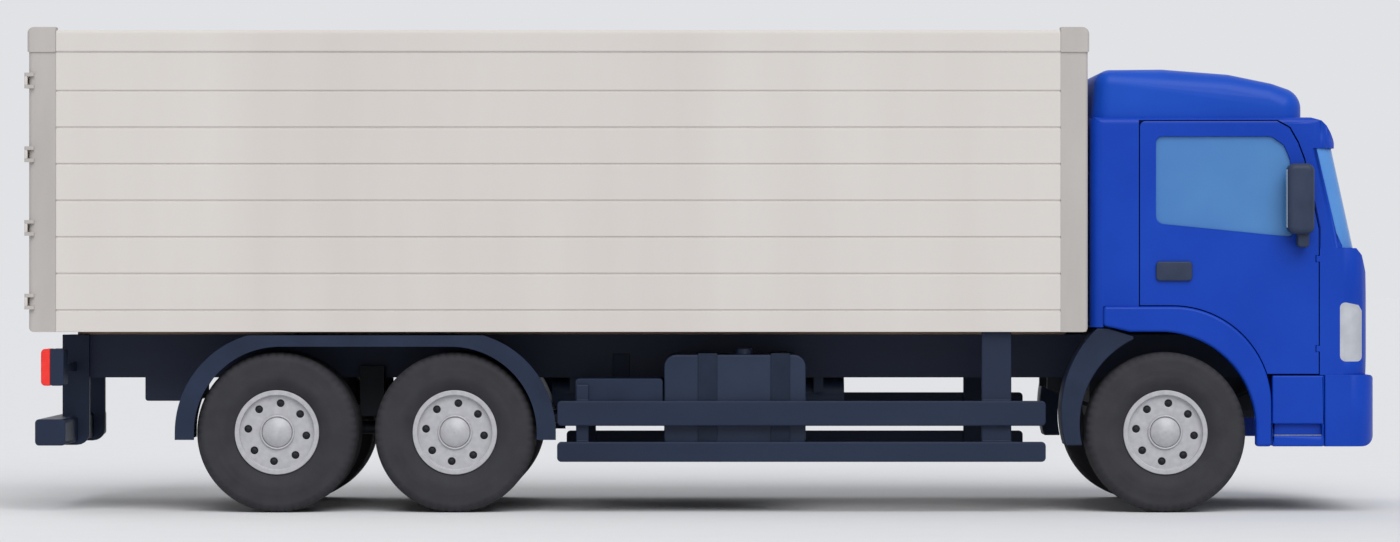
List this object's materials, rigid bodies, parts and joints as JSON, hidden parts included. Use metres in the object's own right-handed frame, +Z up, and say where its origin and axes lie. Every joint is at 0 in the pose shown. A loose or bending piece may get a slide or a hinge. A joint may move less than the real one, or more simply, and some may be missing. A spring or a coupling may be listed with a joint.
{
  "type": "three-axle box truck",
  "caption": "Rigid cab-over box truck with a tilting cab, ladder frame, twin rear wheels, side guards and a freight box with barn doors.",
  "frame": {"origin": "on the ground, below the middle of the truck's length and width", "axes": "+X forward to the cab, +Y to the truck's left, +Z up"},
  "size_m": [9.462, 2.82, 3.402],
  "materials": {
    "cab_paint": "satin blue paint",
    "fairing_paint": "satin blue paint on moulded composite",
    "frame_paint": "satin dark blue-grey chassis paint",
    "axle_iron": "painted casting",
    "spring_steel": "painted spring steel",
    "shaft_steel": "painted tube",
    "tank_aluminium": "satin dark paint",
    "strap_steel": "satin dark paint",
    "guard_aluminium": "satin dark paint",
    "mudguard_plastic": "moulded",
    "stowage_plastic": "moulded",
    "tail_lens": "clear red moulding",
    "floor_wood": "painted board",
    "box_panel": "satin gel coat",
    "box_aluminium": "satin anodised",
    "glass": "tinted, smooth",
    "lamp_lens": "clear moulding over a reflector",
    "grille_plastic": "moulded",
    "step_plastic": "moulded in colour",
    "seat_fabric": "woven",
    "dash_plastic": "grained moulding",
    "mirror_plastic": "moulded",
    "tyre": "moulded rubber",
    "wheel_paint": "satin silver"
  },
  "bodies": {
    "chassis": {"chassis_frame": "frame_paint", "engine_block": "axle_iron", "front_axle": "axle_iron", "front_springs": "spring_steel", "rear_axles": "axle_iron", "rear_suspension": "spring_steel", "propshafts": "shaft_steel", "fuel_tanks": "tank_aluminium", "tank_straps": "strap_steel", "stowage_boxes": "stowage_plastic", "air_tanks": "tank_aluminium", "side_guards": "guard_aluminium", "rear_mudguards": "mudguard_plastic", "front_mudguards": "mudguard_plastic", "underrun_guard": "guard_aluminium", "tail_lamps": "tail_lens", "box_floor": "floor_wood", "box_walls": "box_panel", "box_roof": "box_panel", "box_posts": "box_aluminium"},
    "cab": {"cab_floor": "frame_paint", "cab_back": "cab_paint", "cab_front": "cab_paint", "cab_roof": "cab_paint", "windshield": "glass", "roof_fairing": "fairing_paint", "arch_trims": "fairing_paint", "front_bumper": "fairing_paint", "entry_steps": "step_plastic", "headlights": "lamp_lens", "grille": "grille_plastic", "seats": "seat_fabric", "dashboard": "dash_plastic"},
    "right_cab_door": {"door_right": "cab_paint", "door_glass_right": "glass", "door_fittings_right": "mirror_plastic"},
    "right_rear_door": {"rear_door_right": "box_panel"},
    "right_knuckle": {"knuckle_right": "axle_iron"},
    "right_front_wheel": {"wheel_front_right": "wheel_paint", "tyre_front_right": "tyre"},
    "right_drive_wheels": {"wheels_drive_right": "wheel_paint", "tyres_drive_right": "tyre"},
    "right_tag_wheels": {"wheels_tag_right": "wheel_paint", "tyres_tag_right": "tyre"},
    "left_cab_door": {"door_left": "cab_paint", "door_glass_left": "glass", "door_fittings_left": "mirror_plastic"},
    "left_rear_door": {"rear_door_left": "box_panel"},
    "left_knuckle": {"knuckle_left": "axle_iron"},
    "left_front_wheel": {"wheel_front_left": "wheel_paint", "tyre_front_left": "tyre"},
    "left_drive_wheels": {"wheels_drive_left": "wheel_paint", "tyres_drive_left": "tyre"},
    "left_tag_wheels": {"wheels_tag_left": "wheel_paint", "tyres_tag_left": "tyre"}
  },
  "joints": [
    {"name": "cab_tilt", "type": "hinge", "parent": "chassis", "child": "cab", "pos_m": [4.44, 0, 0.62], "axis": [0, 1, 0], "range_deg": [0, 60]},
    {"name": "right_door", "type": "hinge", "parent": "cab", "child": "right_cab_door", "pos_m": [4.325, -1.212, 1.5], "axis": [0, 0, 1], "range_deg": [0, 70]},
    {"name": "right_barn_door", "type": "hinge", "parent": "chassis", "child": "right_rear_door", "pos_m": [-4.716, -1.265, 2.2], "axis": [0, 0, 1], "range_deg": [0, 270]},
    {"name": "right_steer", "type": "hinge", "parent": "chassis", "child": "right_knuckle", "pos_m": [3.265, -0.99, 0.562], "axis": [0, 0, 1], "range_deg": [-40, 40]},
    {"name": "right_front_spin", "type": "hinge", "parent": "right_knuckle", "child": "right_front_wheel", "pos_m": [3.265, -1.06, 0.562], "axis": [0, 1, 0], "continuous": true},
    {"name": "right_drive_spin", "type": "hinge", "parent": "chassis", "child": "right_drive_wheels", "pos_m": [-1.72, -1.06, 0.562], "axis": [0, 1, 0], "continuous": true},
    {"name": "right_tag_spin", "type": "hinge", "parent": "chassis", "child": "right_tag_wheels", "pos_m": [-2.968, -1.06, 0.562], "axis": [0, 1, 0], "continuous": true},
    {"name": "left_door", "type": "hinge", "parent": "cab", "child": "left_cab_door", "pos_m": [4.325, 1.212, 1.5], "axis": [0, 0, -1], "range_deg": [0, 70]},
    {"name": "left_barn_door", "type": "hinge", "parent": "chassis", "child": "left_rear_door", "pos_m": [-4.716, 1.265, 2.2], "axis": [0, 0, -1], "range_deg": [0, 270]},
    {"name": "left_steer", "type": "hinge", "parent": "chassis", "child": "left_knuckle", "pos_m": [3.265, 0.99, 0.562], "axis": [0, 0, 1], "range_deg": [-40, 40]},
    {"name": "left_front_spin", "type": "hinge", "parent": "left_knuckle", "child": "left_front_wheel", "pos_m": [3.265, 1.06, 0.562], "axis": [0, 1, 0], "continuous": true},
    {"name": "left_drive_spin", "type": "hinge", "parent": "chassis", "child": "left_drive_wheels", "pos_m": [-1.72, 1.06, 0.562], "axis": [0, 1, 0], "continuous": true},
    {"name": "left_tag_spin", "type": "hinge", "parent": "chassis", "child": "left_tag_wheels", "pos_m": [-2.968, 1.06, 0.562], "axis": [0, 1, 0], "continuous": true}
  ],
  "couplings": [
    {"joint": "left_steer", "follows": "right_steer", "ratio": 1}
  ]
}
